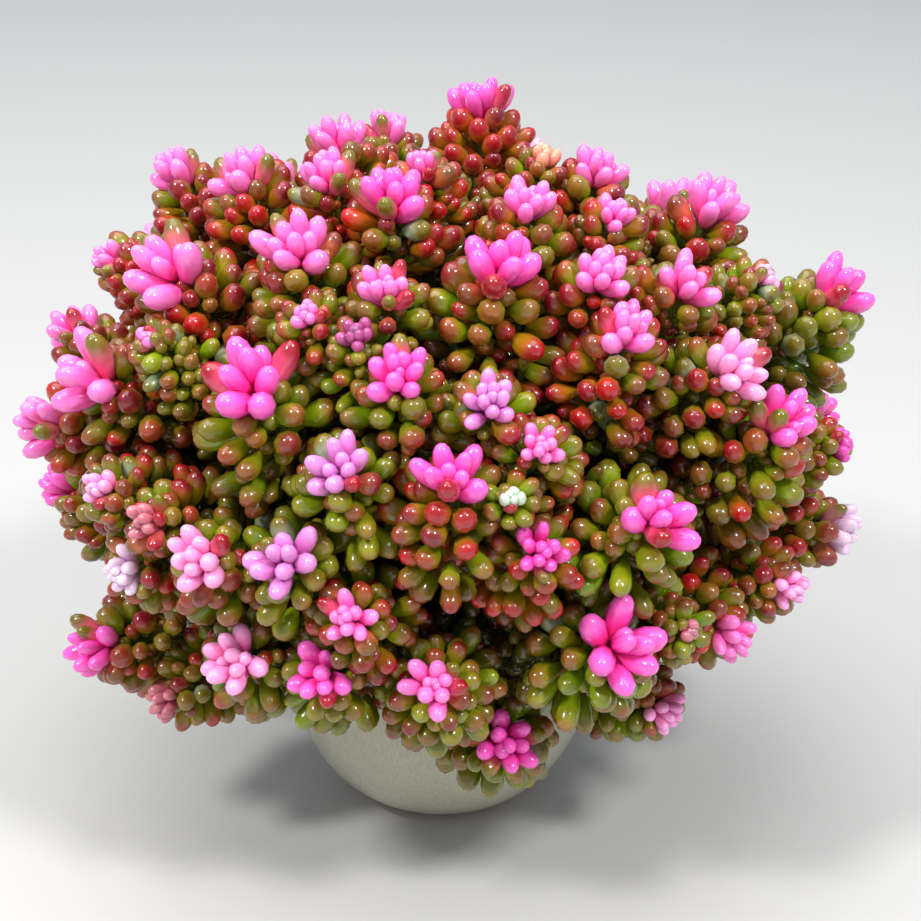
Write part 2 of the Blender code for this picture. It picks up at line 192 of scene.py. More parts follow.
start_clean()
bpy.ops.mesh.primitive_plane_add(size=FLOOR_SIZE, location=(0.0, 0.0, 0.0))
floor = bpy.context.object
floor.name = "pale_floor"
floor_finish, floor_shader = new_finish("pale_floor_finish")
set_inputs(floor_shader, {"Base Color": (*FLOOR_COLOUR, 1.0), "Roughness": FLOOR_ROUGHNESS})
floor.data.materials.append(floor_finish)

add_lamp("pair_lamp_left", PAIR_LAMPS[0], PAIR_SIZE, PAIR_POWER)
add_lamp("pair_lamp_right", PAIR_LAMPS[1], PAIR_SIZE, PAIR_POWER)
add_lamp("soft_lamp_above", SOFT_LAMP, SOFT_SIZE, SOFT_POWER)

sky = bpy.data.worlds.new("pale_sky")
sky.use_nodes = True
set_inputs(sky.node_tree.nodes["Background"], {"Color": SKY_COLOUR, "Strength": SKY_STRENGTH})
bpy.context.scene.world = sky
bpy.context.scene.view_settings.view_transform = "Standard"

# %% [markdown]
# ## Nodes for the finishes
# Every finish here is built from the same few steps: a noise on Object coordinates, which stays on the
# piece when it moves, a range that it is spread over, a bump, and a mix of two colours.

# %% Steps of a material
SOFT_DETAIL = 2.0
FINE_DETAIL = 4.0
NOISE_MIDDLE = (0.3, 0.7)
WHOLE_RANGE = (0.0, 1.0)
EVEN = (1.0, 1.0, 1.0)


def link(material, source, target):
    material.node_tree.links.new(source, target)


def add_node(material, kind, **settings):
    node = material.node_tree.nodes.new(kind)
    for name, value in settings.items():
        setattr(node, name, value)
    return node


def noise_on_object(material, scale, detail, stretch=EVEN):
    """Noise on Object coordinates, stretched by this much along X, Y and Z."""
    place = add_node(material, "ShaderNodeTexCoord")
    mapping = add_node(material, "ShaderNodeMapping")
    noise = add_node(material, "ShaderNodeTexNoise")
    set_inputs(mapping, {"Scale": stretch})
    set_inputs(noise, {"Scale": scale, "Detail": detail})
    link(material, place.outputs["Object"], mapping.inputs["Vector"])
    link(material, mapping.outputs["Vector"], noise.inputs["Vector"])
    return noise.outputs["Fac"]


def between(material, value, target, source=NOISE_MIDDLE):
    """Spreads the source range of a value, by default the middle of a noise, over the target range."""
    spread = add_node(material, "ShaderNodeMapRange")
    set_inputs(spread, {"From Min": source[0], "From Max": source[1]})
    set_inputs(spread, {"To Min": target[0], "To Max": target[1]})
    link(material, value, spread.inputs["Value"])
    return spread.outputs["Result"]


def add_bump(material, shader, height, strength, distance):
    bump = add_node(material, "ShaderNodeBump")
    set_inputs(bump, {"Strength": strength, "Distance": distance})
    link(material, height, bump.inputs["Height"])
    link(material, bump.outputs["Normal"], shader.inputs["Normal"])


def scaled_colour(material, colour, factor):
    """Multiplies a colour by a number, to lighten or darken it."""
    scale = add_node(material, "ShaderNodeVectorMath", operation="SCALE")
    link(material, colour, scale.inputs[0])
    link(material, factor, scale.inputs["Scale"])
    return scale.outputs["Vector"]


def mixed_colours(material, factor, first, second):
    """Goes from the first colour to the second. Each is three numbers or the output of another node."""
    mix = add_node(material, "ShaderNodeMix", data_type="RGBA")
    ends = [socket for socket in mix.inputs if socket.type == "RGBA"]
    for end, colour in zip(ends, (first, second)):
        if isinstance(colour, bpy.types.NodeSocket):
            link(material, colour, end)
        else:
            end.default_value = (*colour, 1.0)
    link(material, factor, mix.inputs[0])
    return [socket for socket in mix.outputs if socket.type == "RGBA"][0]


print("a noise is spread from", NOISE_MIDDLE)

# %% [markdown]
# ## The skin of a bean leaf
# A bean leaf is full of sap under a shiny skin. Its colour runs from root to tip and differs from leaf to
# leaf, so it is kept on the points of the mesh, in an attribute named leaf_tint, and the material only
# reads it. Noise adds the fine mottling. Some of the light goes under the skin, which the shader's
# subsurface does, and a thin coat gives the sharp lights on top. The leaves deep in the bush have no light
# under the skin, which saves time where nobody would see it.

# %% Leaf skins
LEAF_TINT = "leaf_tint"
SKIN_ROUGHNESS = (0.15, 0.28)
SKIN_MOTTLE = (0.86, 1.14)
SKIN_PATCHES = (420.0, SOFT_DETAIL)
SKIN_COAT = {"Coat Weight": 0.5, "Coat Roughness": 0.06}
PORES = (1500.0, 1.0)
PORE_BUMP = (0.12, 0.1 * MM)
GREEN_GLOW = (0.3, (1.0, 0.5, 0.25), 1.6 * MM)
SHADE_GLOW = (0.0, (1.0, 0.5, 0.25), 1.6 * MM)
PINK_GLOW = (0.6, (1.0, 0.4, 0.7), 2.0 * MM)


def make_leaf_skin(name, glow):
    """A shiny skin. The glow is the share of light under it, how far each colour goes, and their scale."""
    material, shader = new_finish(name)
    share, reach, depth = glow
    set_inputs(shader, {"Subsurface Weight": share, "Subsurface Radius": reach, "Subsurface Scale": depth})
    set_inputs(shader, SKIN_COAT)
    tint = add_node(material, "ShaderNodeAttribute", attribute_name=LEAF_TINT)
    patches = noise_on_object(material, *SKIN_PATCHES)
    mottle = between(material, patches, SKIN_MOTTLE)
    link(material, scaled_colour(material, tint.outputs["Color"], mottle), shader.inputs["Base Color"])
    link(material, between(material, patches, SKIN_ROUGHNESS), shader.inputs["Roughness"])
    add_bump(material, shader, noise_on_object(material, *PORES), *PORE_BUMP)
    return material


leaf_skin = make_leaf_skin("bean_leaf_skin", GREEN_GLOW)
shaded_skin = make_leaf_skin("shaded_leaf_skin", SHADE_GLOW)
pink_skin = make_leaf_skin("pink_leaf_skin", PINK_GLOW)
print("leaf skin nodes:", len(leaf_skin.node_tree.nodes))

# %% [markdown]
# ## The bark of the stems
# The stems are thin, olive brown and a little rough. They show only in a gap between the leaves, so a bark
# of two colours with a long grain is enough.

# %% Bark
BARK_COLOURS = (linear(74, 66, 18), linear(116, 116, 36))
BARK_GRAIN = (500.0, FINE_DETAIL, (1.0, 1.0, 0.3))
BARK_ROUGHNESS = 0.8
BARK_BUMP = (0.5, 0.2 * MM)


def make_two_tone(name, colours, roughness, patches, crumbs, bump):
    """A rough finish of two colours. The bump follows the patches, or a finer noise for the crumbs."""
    material, shader = new_finish(name)
    set_inputs(shader, {"Roughness": roughness})
    share = between(material, noise_on_object(material, *patches), WHOLE_RANGE)
    link(material, mixed_colours(material, share, *colours), shader.inputs["Base Color"])
    add_bump(material, shader, noise_on_object(material, *crumbs) if crumbs else share, *bump)
    return material


stem_bark = make_two_tone("stem_bark", BARK_COLOURS, BARK_ROUGHNESS, BARK_GRAIN, None, BARK_BUMP)
print("bark nodes:", len(stem_bark.node_tree.nodes))

# %% [markdown]
# ## One bean leaf
# The bean starts as a sphere of few faces, because it will be copied thousands of times. In edit mode each
# ring of points is resized and moved to the bean's outline: a narrow root, a belly past the middle and a
# round tip. The rings also move sideways a little, so that the bean curves. It is one unit long and one
# unit in radius, and each copy is stretched to its own size. A plainer bean serves for the leaves deep in
# the bush.

# %% Model the bean
BEAN_SIDES = 9
BEAN_OUTLINE = ((0.05, 0.34), (0.24, 0.66), (0.47, 0.93), (0.69, 1.0), (0.86, 0.82), (0.962, 0.46))
PLAIN_SIDES = 7
PLAIN_OUTLINE = ((0.07, 0.42), (0.4, 0.88), (0.74, 1.0), (0.94, 0.56))
BEAN_CURVE = 0.5
BELOW = -10.0
RING_TOLERANCE = 0.01


def shape_ring(height, target, radius_factor):
    """Moves the ring of points at this height to its place on the bean."""
    select_points(lambda place: abs(place.z - height) < RING_TOLERANCE)
    middle = (0.0, 0.0, height)
    size = (radius_factor, radius_factor, 1.0)
    bpy.ops.transform.resize(value=size, center_override=middle)
    bpy.ops.transform.translate(value=(BEAN_CURVE * target * target, 0.0, target - height))


def model_bean(name, sides, outline):
    """A bean of unit length and radius. Its sphere starts far below, so no ring is picked twice."""
    start_clean()
    rings = len(outline) + 1
    bpy.ops.mesh.primitive_uv_sphere_add(segments=sides, ring_count=rings, radius=1.0)
    bean = bpy.context.object
    bean.name = name
    bpy.ops.object.mode_set(mode="EDIT")
    bpy.ops.transform.translate(value=(0.0, 0.0, BELOW))
    for ring, (target, radius) in enumerate(outline):
        turn = math.pi * (rings - 1 - ring) / rings
        shape_ring(BELOW + math.cos(turn), target, radius / math.sin(turn))
    select_points(lambda place: place.z < BELOW - 1.0 + RING_TOLERANCE)
    bpy.ops.transform.translate(value=(0.0, 0.0, 1.0 - BELOW))
    select_points(lambda place: place.z < BELOW + 1.0 + RING_TOLERANCE)
    bpy.ops.transform.translate(value=(BEAN_CURVE, 0.0, -BELOW))
    bpy.ops.mesh.select_all(action="SELECT")
    bpy.ops.mesh.normals_make_consistent(inside=False)
    bpy.ops.object.mode_set(mode="OBJECT")
    bpy.ops.object.shade_smooth()
    bean.data.materials.append(leaf_skin)
    bean.data.color_attributes.new(LEAF_TINT, "FLOAT_COLOR", "POINT")
    along = np.array([point.co.z for point in bean.data.vertices])
    normals = np.array([tuple(point.normal) for point in bean.data.vertices])
    print(name, "faces:", len(bean.data.polygons), "from", along.min(), "to", along.max())
    return {"object": bean, "along": along, "normals": normals}


fine_bean = model_bean("fine_bean", BEAN_SIDES, BEAN_OUTLINE)
plain_bean = model_bean("plain_bean", PLAIN_SIDES, PLAIN_OUTLINE)

# %% [markdown]
# ## Where the shoots stand
# The heads' places were read from the photograph: across and up in millimetres from the camera's aim, the
# width of the pink head and how far it looks up. The rule that puts them on the canopy is the same as in
# the CAD source, so each finer piece lies where its solid does. The last two columns say the head's colour
# and how red the leaves under it are.

# %% Shoots read from the photograph
FRONT_SHOOTS = (
    (10, 87, 15, 84, "hot", 0.95), (-25, 78, 14, 78, "pink", 0.75), (-27, 69, 13, 72, "pink", 0.75),
    (-12, 64, 16, 76, "hot", 0.7), (-4, 71, 9, 80, "pink", 0.7), (-63, 70, 14, 62, "pink", 0.75),
    (-48, 69, 15, 68, "pink", 0.7), (-80, 48, 10, 25, "pink", 0.7), (-66, 47, 20, 55, "pink", 0.75),
    (-35, 52, 16, 66, "pink", 0.45), (-32, 35, 7, 50, "pink", 0.5), (-13, 41, 13, 62, "pink", 0.4),
    (14, 48, 18, 72, "hot", 0.6), (21, 62, 13, 76, "pink", 0.6), (25, 73, 7, 72, "peach", 0.6),
    (38, 70, 13, 74, "pink", 0.65), (42, 59, 10, 66, "pink", 0.5), (39, 45, 13, 62, "pink", 0.6),
    (66, 62, 16, 66, "pink", 0.5), (60, 43, 14, 58, "pink", 0.5), (78, 44, 7, 48, "pale", 0.4),
    (96, 42, 17, 52, "hot", 0.2), (45, 32, 14, 64, "pink", 0.7), (71, 23, 15, 46, "pale", 0.5),
    (83, 10, 16, 54, "hot", 0.55), (96, 4, 8, 20, "magenta", 0.4), (-46, 20, 20, 62, "hot", 0.3),
    (-85, 21, 19, 38, "pink", 0.6), (-96, 8, 16, 14, "pink", 0.65), (-70, 29, 7, 45, "pink", 0.3),
    (-10, 21, 14, 58, "hot", 0.3), (12, 14, 12, 48, "lilac", 0.35), (-24, -2, 14, 46, "lilac", 0.2),
    (3, -3, 16, 66, "hot", 0.65), (24, 3, 10, 42, "pink", 0.6), (17, -9, 6, 40, "celadon", 0.3),
    (24, -22, 12, 34, "magenta", 0.6), (52, -13, 18, 44, "hot", 0.15), (-82, -7, 9, 30, "pale", 0.55),
    (-70, -15, 11, 26, "dusky", 0.6), (-76, -27, 11, 8, "white_lilac", 0.4), (-58, -23, 15, 34, "pale", 0.4),
    (-38, -24, 16, 36, "lilac", 0.1), (-84, -45, 15, 12, "hot", 0.5), (-50, -48, 15, 28, "pale", 0.35),
    (-66, -58, 10, -8, "dusky", 0.4), (-22, -38, 12, 34, "pink", 0.5), (-29, -52, 15, 24, "hot", 0.2),
    (-1, -54, 14, 34, "pink", 0.35), (16, -68, 15, 24, "magenta", 0.15), (43, -44, 20, 36, "hot", 0.2),
    (54, -61, 11, 2, "pale", 0.3), (70, -43, 12, -12, "pink", 0.6), (84, -31, 10, 0, "pale", 0.6),
    (96, -16, 13, 8, "white_lilac", 0.4), (60, -41, 6, 20, "dusky", 0.3), (-20, 30, 8, 52, "mauve", 0.3),
)
CANOPY_CENTRE = Vector((0.0, 0.0, 95.0 * MM))
CANOPY_RADII = Vector((97.0 * MM, 80.0 * MM, 75.0 * MM))


def divide(vector, radii):
    return Vector((vector.x / radii.x, vector.y / radii.y, vector.z / radii.z))


def on_canopy(across, up):
    """The canopy's point that the eye sees this far across and up, or the nearest to that sight line."""
    rise = Vector((0.0, math.sin(eye_tilt), math.cos(eye_tilt)))
    target = EYE_AIM + Vector((across, 0.0, 0.0)) + rise * up
    sight = (target - eye_place).normalized()
    scaled_eye = divide(eye_place - CANOPY_CENTRE, CANOPY_RADII)
    scaled_sight = divide(sight, CANOPY_RADII)
    square = scaled_sight.length_squared
    half = scaled_eye.dot(scaled_sight)
    inside = half * half - square * (scaled_eye.length_squared - 1.0)
    return eye_place + sight * ((-half - math.sqrt(max(inside, 0.0))) / square)


def facing(point, lift):
    """The direction in which a head looks: outwards from the canopy, at this lift above level."""
    outward = divide(divide(point - CANOPY_CENTRE, CANOPY_RADII), CANOPY_RADII)
    level = Vector((outward.x, outward.y, 0.0)).normalized()
    lift = math.radians(lift)
    return level * math.cos(lift) + Vector((0.0, 0.0, math.sin(lift)))


def new_shoot(tip, lift, width, tint, redness):
    return {"tip": tip, "axis": facing(tip, lift), "width": width, "tint": tint, "redness": redness}


def front_shoots():
    shoots = []
    for across, up, width, lift, tint, redness in FRONT_SHOOTS:
        shoots.append(new_shoot(on_canopy(across * MM, up * MM), lift, width * MM, tint, redness))
    return shoots


print("shoots seen from the front:", len(front_shoots()))

# %% [markdown]
# ## The far side
# The photograph doesn't show the back of the plant. Its shoots follow a sunflower spiral over the canopy
# wherever no other head is near. The widths are drawn from the same seeded numbers as in the CAD source,
# so that each head is as wide as its solid.

# %% Shoots on the far side
BACK_CANDIDATES = 84
BACK_SPACING = 26.0 * MM
BACK_LOWEST = 58.0 * MM
BACK_FACING = 0.5
BACK_WIDTHS = (12.0, 17.0)
BACK_LIFTS = (16.0, 78.0)
BACK_TINTS = ("hot", "pink", "pink", "pink", "pale", "lilac")
BACK_REDNESS = (0.2, 0.7)
SEED = 11
GOLDEN_TURN = math.pi * (3.0 - math.sqrt(5.0))


def spiral_height(index, count):
    """Heights that run evenly from the top of a ball of radius one to its underside."""
    return 1.0 - 2.0 * (index + 0.5) / count


def on_ball(height, turn):
    level = math.sqrt(1.0 - height * height)
    return Vector((level * math.cos(turn), level * math.sin(turn), height))


def on_ellipsoid(unit):
    """The step from the canopy's centre to its surface on the side of this point of the ball."""
    return Vector([a * b for a, b in zip(unit, CANOPY_RADII)])


def is_near(tip, shoots, spacing):
    return any((other["tip"] - tip).length < spacing for other in shoots)


def back_shoots(taken):
    widths = random.Random(SEED)
    looks = random.Random(SEED + 1)
    shoots = []
    for index in range(BACK_CANDIDATES):
        unit = on_ball(spiral_height(index, BACK_CANDIDATES), index * GOLDEN_TURN)
        tip = CANOPY_CENTRE + on_ellipsoid(unit)
        normal = divide(unit, CANOPY_RADII).normalized()
        width = widths.uniform(*BACK_WIDTHS) * MM
        crowded = is_near(tip, taken + shoots, BACK_SPACING)
        if tip.z < BACK_LOWEST or normal.dot(to_eye) > BACK_FACING or crowded:
            continue
        rise = (tip.z - BACK_LOWEST) / (CANOPY_CENTRE.z + CANOPY_RADII.z - BACK_LOWEST)
        lift = part_way(BACK_LIFTS, rise)
        tint = looks.choice(BACK_TINTS)
        shoots.append(new_shoot(tip, lift, width, tint, looks.uniform(*BACK_REDNESS)))
    return shoots


print("shoots on the far side:", len(back_shoots(front_shoots())))

# %% [markdown]
# ## From heads to stems
# Each shoot has a neck just under its head, and it grows from the nearest of fourteen trunks. A trunk rises
# straight out of the mix to its fork. The heads that have a solid of their own are the forty-four widest.

# %% Plan of the shoots
SOIL_TOP = 37.5 * MM
TRUNK_RADIUS = 1.9 * MM
TRUNK_DEPTH = 14.0 * MM
FORK_CENTRE = Vector((0.0, 0.0, 52.0 * MM))
FORK_REACH = 24.0 * MM
TRUNK_RINGS = ((3, 72.0, 0.0), (6, 38.0, 0.5), (5, 8.0, 0.0))
HEAD_WIDTH = 17.0 * MM
HEAD_BEAN_LENGTH = 8.6 * MM
NECK_DEPTH = 0.6
BODY_DEPTH = 14.0 * MM
PLAIN_BODY = 0.55
BODY_PER_HEAD = 0.5
LARGEST_BODY = 1.08
HEAD_NODES = 44


def trunk_directions():
    directions = []
    for count, lift, offset in TRUNK_RINGS:
        lift = math.radians(lift)
        for index in range(count):
            turn = math.tau * (index + offset) / count - math.pi / 2.0
            level = Vector((math.cos(turn), math.sin(turn), 0.0))
            directions.append(level * math.cos(lift) + Vector((0.0, 0.0, math.sin(lift))))
    return directions


def settle(shoot, number):
    """Gives a shoot its number, its neck and foot, and the trunk that it grows from."""
    directions = trunk_directions()
    size = shoot["width"] / HEAD_WIDTH
    shoot["number"] = number
    shoot["body_size"] = min(LARGEST_BODY, PLAIN_BODY + BODY_PER_HEAD * size)
    shoot["neck"] = shoot["tip"] - shoot["axis"] * HEAD_BEAN_LENGTH * NECK_DEPTH * size
    shoot["foot"] = shoot["neck"] - shoot["axis"] * BODY_DEPTH * shoot["body_size"]
    outward = (shoot["tip"] - FORK_CENTRE).normalized()
    shoot["trunk"] = max(range(len(directions)), key=lambda index: directions[index].dot(outward))
    shoot["fork"] = FORK_CENTRE + directions[shoot["trunk"]] * FORK_REACH


def plan_shoots():
    shoots = front_shoots()
    shoots += back_shoots(shoots)
    for shoot in sorted(shoots, key=lambda shoot: -shoot["width"])[:HEAD_NODES]:
        shoot["own_head"] = True
    for number, shoot in enumerate(shoots):
        settle(shoot, number)
    return shoots


shoots = plan_shoots()
forks = [FORK_CENTRE + direction * FORK_REACH for direction in trunk_directions()]
print("shoots with heads:", len(shoots), "trunks:", len(forks))

# %% [markdown]
# ## Green side shoots
# Between the headed shoots the plant is filled with shorter green ones, and some hang over the bowl's rim and
# hide it. They follow the same sunflower spiral on a smaller canopy, and a ring just above the rim. They
# belong to the same fourteen stems.

# %% Plan of the side shoots
SIDE_CANOPY = 0.8
SIDE_CANDIDATES = 110
SIDE_TURN = 1.0
SIDE_LOWEST = 46.0 * MM
SIDE_SPACING = 17.0 * MM
SIDE_WIDTH = 10.5 * MM
SIDE_LIFTS = (20.0, 80.0)
SIDE_REDNESS = (0.1, 0.5)
RIM_SHOOTS = 18
RIM_TURN = 0.3
RIM_REACH = 49.0 * MM
RIM_REACHES = (0.9, 1.06)
RIM_HEIGHT = 47.5 * MM
RIM_HEIGHTS = (0.95, 1.15)
RIM_LIFT = -6.0
RIM_REDNESS = (0.05, 0.3)


def side_shoots(taken):
    looks = random.Random(SEED + 3)
    made = []
    for index in range(SIDE_CANDIDATES):
        height = spiral_height(index, SIDE_CANDIDATES)
        tip = CANOPY_CENTRE + on_ellipsoid(on_ball(height, index * GOLDEN_TURN + SIDE_TURN)) * SIDE_CANOPY
        if tip.z >= SIDE_LOWEST and not is_near(tip, taken + made, SIDE_SPACING):
            lift = part_way(SIDE_LIFTS, max(0.0, height))
            made.append(new_shoot(tip, lift, SIDE_WIDTH, "green", looks.uniform(*SIDE_REDNESS)))
    for index in range(RIM_SHOOTS):
        turn = math.tau * (index + RIM_TURN) / RIM_SHOOTS
        reach = RIM_REACH * looks.uniform(*RIM_REACHES)
        height = RIM_HEIGHT * looks.uniform(*RIM_HEIGHTS)
        tip = Vector((reach * math.cos(turn), reach * math.sin(turn), height))
        made.append(new_shoot(tip, RIM_LIFT, SIDE_WIDTH, "green", looks.uniform(*RIM_REDNESS)))
    return made


fillers = side_shoots(shoots)
for number, shoot in enumerate(fillers):
    settle(shoot, len(shoots) + number)
print("green side shoots:", len(fillers))

# %% [markdown]
# ## Room for every leaf
# Real leaves press against each other but don't pass through each other. Each leaf is stood for by a
# round-ended rod, and a new leaf is tried at a few sizes until its rod clears those that are there. The
# rods are kept in arrays, so that one sum finds those nearby and a second their gaps.

# %% Rods that keep leaves apart
MOST_RODS = 16000
HEAD_PRESS = 1.5 * MM
LEAF_PRESS = 1.3 * MM
OTHER_PRESS = 0.7 * MM
FITS = (1.0, 0.88, 0.76)
ROD_START = 0.48
ROD_MIDDLE = 0.6
ROD_TIP = 0.7
ROD_REACH = 14.0 * MM
SMALLEST_PRODUCT = 1e-15


class Rods:
    def __init__(self):
        self.count = 0
        self.starts = np.zeros((MOST_RODS, 3))
        self.ends = np.ones((MOST_RODS, 3))
        self.radii = np.zeros(MOST_RODS)
        self.owners = np.zeros(MOST_RODS, int)
        self.middles = np.zeros((MOST_RODS, 3))

    def add(self, start, end, radius, owner):
        self.starts[self.count] = start
        self.ends[self.count] = end
        self.middles[self.count] = (start + end) * 0.5
        self.radii[self.count] = radius
        self.owners[self.count] = owner
        self.count += 1

    def nearby(self, place):
        """The numbers of the rods whose middles lie within reach of this place."""
        apart = self.middles[: self.count] - np.array(place)
        return np.flatnonzero(np.einsum("ij,ij->i", apart, apart) < ROD_REACH**2)

    def gaps(self, start, end, radius, near):
        """The gap from this rod to each of the rods nearby, less than nothing where they cross."""
        held = self.starts[near]
        others = self.ends[near] - held
        first = np.array(end - start)
        apart = np.array(start) - held
        own_square = first @ first
        both = others @ first
        own_part = apart @ first
        squares = np.einsum("ij,ij->i", others, others)
        parts = np.einsum("ij,ij->i", others, apart)
        product = np.maximum(own_square * squares - both * both, SMALLEST_PRODUCT)
        own_share = np.clip((both * parts - own_part * squares) / product, 0.0, 1.0)
        share = np.clip((both * own_share + parts) / squares, 0.0, 1.0)
        own_share = np.clip((both * share - own_part) / own_square, 0.0, 1.0)
        apart = apart + np.outer(own_share, first) - others * share[:, None]
        return np.sqrt(np.einsum("ij,ij->i", apart, apart)) - self.radii[near] - radius

    def has_room(self, start, end, radius, owner, press, near):
        gaps = self.gaps(start, end, radius, near)
        own = self.owners[near] == owner
        return bool((gaps + np.where(own, press, OTHER_PRESS) >= 0.0).all())


rods = Rods()
for fork in forks:
    rods.add(Vector((fork.x, fork.y, SOIL_TOP)), fork, TRUNK_RADIUS, -1)
print("rods at the start:", rods.count)

# %% [markdown]
# ## Colours of the leaves
# Every leaf has three colours: at its root, its belly and its tip. The heads run from hot pink to white
# lilac. The leaves below are green where the sun doesn't reach and red-brown where it does, and their tips
# are the reddest. The numbers are screen colours.

# %% Palette
HEAD_TINTS = {
    "hot": ((250, 44, 120), (255, 60, 172), (255, 104, 198)),
    "pink": ((250, 62, 130), (255, 90, 180), (255, 132, 204)),
    "pale": ((250, 92, 146), (255, 130, 194), (255, 166, 212)),
    "peach": ((236, 80, 90), (248, 130, 126), (240, 160, 130)),
    "lilac": ((200, 70, 150), (214, 112, 190), (226, 146, 210)),
    "white_lilac": ((200, 110, 170), (222, 164, 208), (232, 206, 226)),
    "magenta": ((190, 14, 96), (224, 32, 142), (232, 84, 180)),
    "dusky": ((170, 50, 76), (190, 82, 110), (200, 120, 130)),
    "mauve": ((124, 20, 68), (158, 42, 104), (176, 78, 136)),
    "celadon": ((130, 170, 100), (176, 200, 160), (204, 216, 194)),
    "green": ((104, 146, 14), (134, 168, 24), (112, 84, 26)),
}
LEAF_COLOURS = {
    "leaf_green": linear(104, 150, 8),
    "bright_green": linear(152, 182, 14),
    "olive": linear(116, 106, 8),
    "orange": linear(212, 80, 12),
    "red": linear(194, 16, 16),
    "scarlet": linear(156, 14, 30),
    # Wine here and deep green two lines down are the dark colours of the painted shade deep in the bush.
    "shade_wine": linear(96, 10, 18),
    "plum": linear(126, 22, 36),
    "shade_deep_green": linear(42, 62, 8),
    "peach": linear(250, 118, 90),
    "jade": linear(170, 192, 160),
}
print("head tints:", len(HEAD_TINTS), "leaf colours:", len(LEAF_COLOURS))

# %% [markdown]
# ## Which colours a leaf gets
# The colours are drawn by chance within narrow limits, so that no two leaves match. A redder shoot has
# redder bellies and tips. Deep in the bush, and on all green side shoots, the colours are darkened towards
# wine red or dark green: this is painted shade, for leaves in the shadow of those above. Some outer
# leaves of a head are half brown, and a few leaves below are pale jade.

# %% Draw the colours of a leaf
MOST_PALE = 0.3
SPOT_EDGE = 0.6
SPOT_CHANCE = 0.22
JADE_CHANCE = 0.025
REDNESS_SPREAD = (-0.35, 0.3)
MOST_OLIVE = 0.7
ROOT_ORANGE = 0.3
BELLY_RED = (1.3, -0.6)
TIP_RED = (1.1, 0.3)
# Painted shade: the chance that it goes to wine red rather than dark green, how far below the neck it starts,
# how far it takes to deepen, its strongest share, and its share on all leaves of the green side shoots.
WINE_SHADE_CHANCE = (0.4, 0.35)
PAINTED_SHADE_START = 13.0 * MM
PAINTED_SHADE_FADE = 12.0 * MM
DEEPEST_PAINTED_SHADE = 0.85
SIDE_PAINTED_SHADE = 0.4
COLLAR_ROOT = (0.2, 0.7)
COLLAR_BELLY = (0.2, 0.6)
COLLAR_TIP = (0.4, 1.0)


def blend(first, second, share):
    return first * (1.0 - share) + second * share


def by_redness(rule, redness):
    """A share that grows with the redness of a shoot. The rule is how fast it grows and where it starts."""
    growth, start = rule
    return min(1.0, max(0.0, growth * redness + start))


def head_colours(shoot, share, draw):
    """Root, belly and tip of a head's leaf. The share is 0 at the middle of the head and 1 at its edge."""
    root, belly, tip = [linear(*colour) for colour in HEAD_TINTS[shoot["tint"]]]
    belly = blend(belly, tip, draw.uniform(0.0, MOST_PALE) * share)
    if shoot["tint"] != "green" and share > SPOT_EDGE and draw.random() < SPOT_CHANCE:
        spot = LEAF_COLOURS["scarlet"] if draw.random() < 0.5 else LEAF_COLOURS["olive"]
        return root, blend(belly, LEAF_COLOURS["peach"], 0.5), spot
    return root, belly, tip


def body_colours(shoot, depth, draw):
    """Root, belly and tip of a leaf this far below the neck. A few are pale jade with a brown tip."""
    if draw.random() < JADE_CHANCE:
        return LEAF_COLOURS["leaf_green"], LEAF_COLOURS["jade"], LEAF_COLOURS["olive"]
    redness = min(1.0, max(0.0, shoot["redness"] + draw.uniform(*REDNESS_SPREAD)))
    green = blend(LEAF_COLOURS["leaf_green"], LEAF_COLOURS["bright_green"], draw.random())
    green = blend(green, LEAF_COLOURS["olive"], draw.uniform(0.0, MOST_OLIVE))
    ruddy = blend(LEAF_COLOURS["orange"], LEAF_COLOURS["red"], draw.random())
    root = blend(green, LEAF_COLOURS["orange"], ROOT_ORANGE * redness)
    belly = blend(green, ruddy, by_redness(BELLY_RED, redness))
    tip = blend(LEAF_COLOURS["plum"], LEAF_COLOURS["red"], draw.random() * redness)
    tip = blend(green, tip, by_redness(TIP_RED, redness))
    # Painted shade: leaves deep below the neck, and all leaves of the green side shoots, are darkened towards
    # wine red or dark green, as if in the shadow of the leaves above.
    painted_shade = min(1.0, max(0.0, depth - PAINTED_SHADE_START) / PAINTED_SHADE_FADE) * DEEPEST_PAINTED_SHADE
    painted_shade = max(painted_shade, SIDE_PAINTED_SHADE if shoot["tint"] == "green" else 0.0)
    if painted_shade > 0.0:
        shade_is_wine = draw.random() < by_redness(WINE_SHADE_CHANCE, shoot["redness"])
        shade_colour = LEAF_COLOURS["shade_wine" if shade_is_wine else "shade_deep_green"]
        root, belly, tip = [blend(colour, shade_colour, painted_shade) for colour in (root, belly, tip)]
    return root, belly, tip


def collar_colours(shoot, draw):
    """A leaf just under the head: pink or peach at the root and still green or brown at the tip."""
    pink = linear(*HEAD_TINTS[shoot["tint"]][0])
    root = blend(pink, LEAF_COLOURS["orange"], draw.uniform(*COLLAR_ROOT))
    belly = blend(LEAF_COLOURS["peach"], LEAF_COLOURS["olive"], draw.uniform(*COLLAR_BELLY))
    tip = blend(LEAF_COLOURS["olive"], LEAF_COLOURS["plum"], draw.uniform(*COLLAR_TIP))
    return root, belly, tip


print("share of ruddy in the belly of a leaf in full sun:", by_redness(BELLY_RED, 1.0))

# %% [markdown]
# ## Leaves of a head
# Leaves of a succulent follow a spiral: each one stands a golden turn of 137.5 degrees past the last. In the
# head the youngest leaves are small and upright in the middle, and the older ones are larger and lean out.

